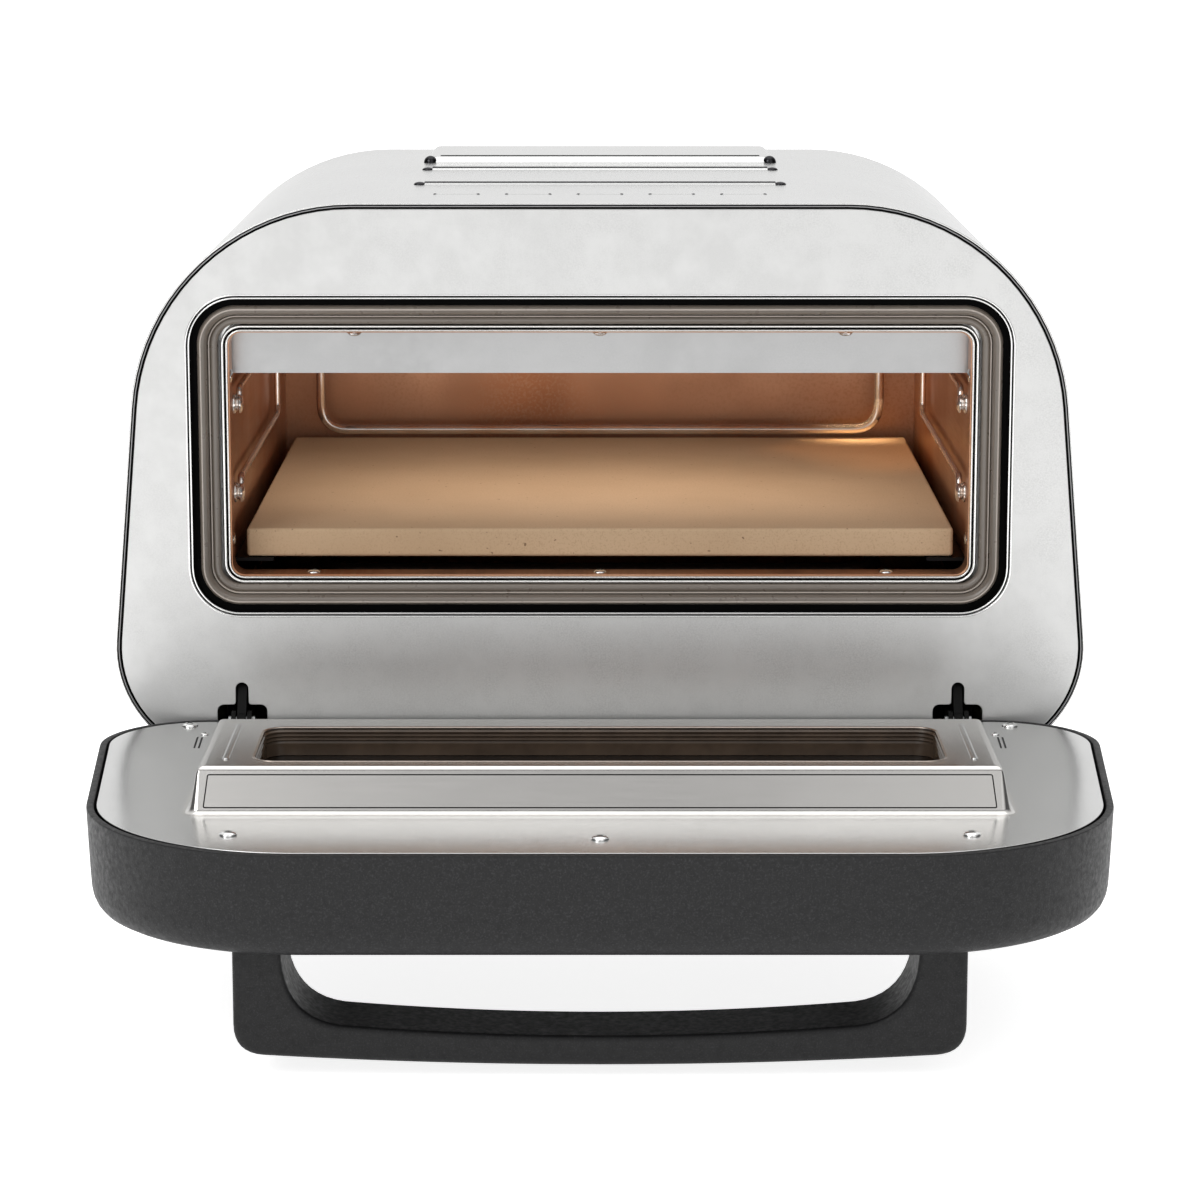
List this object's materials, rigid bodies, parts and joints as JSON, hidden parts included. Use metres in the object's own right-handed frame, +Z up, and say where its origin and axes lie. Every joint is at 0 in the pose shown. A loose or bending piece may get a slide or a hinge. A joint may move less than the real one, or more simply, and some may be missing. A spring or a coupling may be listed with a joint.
{
  "type": "countertop pizza oven",
  "caption": "Domed stainless countertop pizza oven with a drop-down glazed door, a baking stone, heating elements and a cooling fan.",
  "frame": {"origin": "on the table under the middle of the oven's whole box, with its door open", "axes": "+Z up; the oven faces -Y, so its open door points along -Y; +X to the right seen from in front"},
  "size_m": [0.4436, 0.606, 0.3361],
  "materials": {
    "casing_steel": "fine satin stainless",
    "zinc_steel": "zinc plated, satin",
    "liner_steel": "satin, warmed by the elements",
    "bright_rod": "polished",
    "element_sheath": "matte oxidised sheath",
    "powder_coat": "fine sand-textured matte",
    "charcoal_plastic": "fine textured matte",
    "black_plastic": "satin",
    "black_enamel": "gloss black",
    "gasket_rubber": "satin silicone",
    "foot_rubber": "matte",
    "baking_stone": "fired matte cordierite",
    "dark_glass": "clear tinted, polished",
    "mineral_wool": "fibrous matte",
    "circuit_board": "solder mask"
  },
  "bodies": {
    "oven": {"outer_shell": "casing_steel", "front_panel": "casing_steel", "cavity_collar": "casing_steel", "front_baffle": "casing_steel", "base_pan": "zinc_steel", "hinge_bracket_left": "zinc_steel", "hinge_bracket_right": "zinc_steel", "hinge_pin_left": "zinc_steel", "hinge_pin_right": "zinc_steel", "cavity_floor": "liner_steel", "cavity_ceiling": "liner_steel", "cavity_back_wall": "liner_steel", "cavity_left_wall": "liner_steel", "cavity_right_wall": "liner_steel", "stone_support_left": "liner_steel", "stone_support_right": "liner_steel", "rear_stop_rod": "bright_rod", "side_guard_left": "bright_rod", "side_guard_right": "bright_rod", "temperature_probe": "bright_rod", "upper_heating_element": "element_sheath", "lower_heating_element": "element_sheath", "rear_housing": "charcoal_plastic", "leg_front_left": "charcoal_plastic", "leg_front_right": "charcoal_plastic", "leg_rear_left": "charcoal_plastic", "leg_rear_right": "charcoal_plastic", "cord_gland": "black_plastic", "cooling_fan_frame": "black_plastic", "thermal_cutout": "black_plastic", "door_gasket": "gasket_rubber", "foot_pad_front_left": "foot_rubber", "foot_pad_front_right": "foot_rubber", "foot_pad_rear_left": "foot_rubber", "foot_pad_rear_right": "foot_rubber", "pizza_stone": "baking_stone", "insulation_wrap": "mineral_wool", "insulation_back": "mineral_wool", "power_board": "circuit_board"},
    "door": {"door_frame": "powder_coat", "door_inner_plate": "casing_steel", "inner_glass": "dark_glass", "window_tunnel": "liner_steel", "outer_glass": "dark_glass", "outer_panel": "black_enamel", "control_glass": "dark_glass", "control_board": "circuit_board", "door_handle": "charcoal_plastic", "plate_screw_1": "zinc_steel", "plate_screw_2": "zinc_steel", "plate_screw_3": "zinc_steel", "plate_screw_4": "zinc_steel", "plate_screw_5": "zinc_steel", "hinge_arm_left": "zinc_steel", "hinge_arm_right": "zinc_steel", "handle_bolt_left": "zinc_steel", "handle_bolt_right": "zinc_steel"},
    "fan": {"cooling_fan_rotor": "black_plastic"}
  },
  "joints": [
    {"name": "door_hinge", "type": "hinge", "parent": "oven", "child": "door", "pos_m": [0, -0.0621, 0.0971], "axis": [-1, 0, 0], "range_deg": [0, 90]},
    {"name": "fan_spin", "type": "hinge", "parent": "oven", "child": "fan", "pos_m": [0.095, 0.286, 0.198], "axis": [0, 1, 0], "continuous": true}
  ]
}
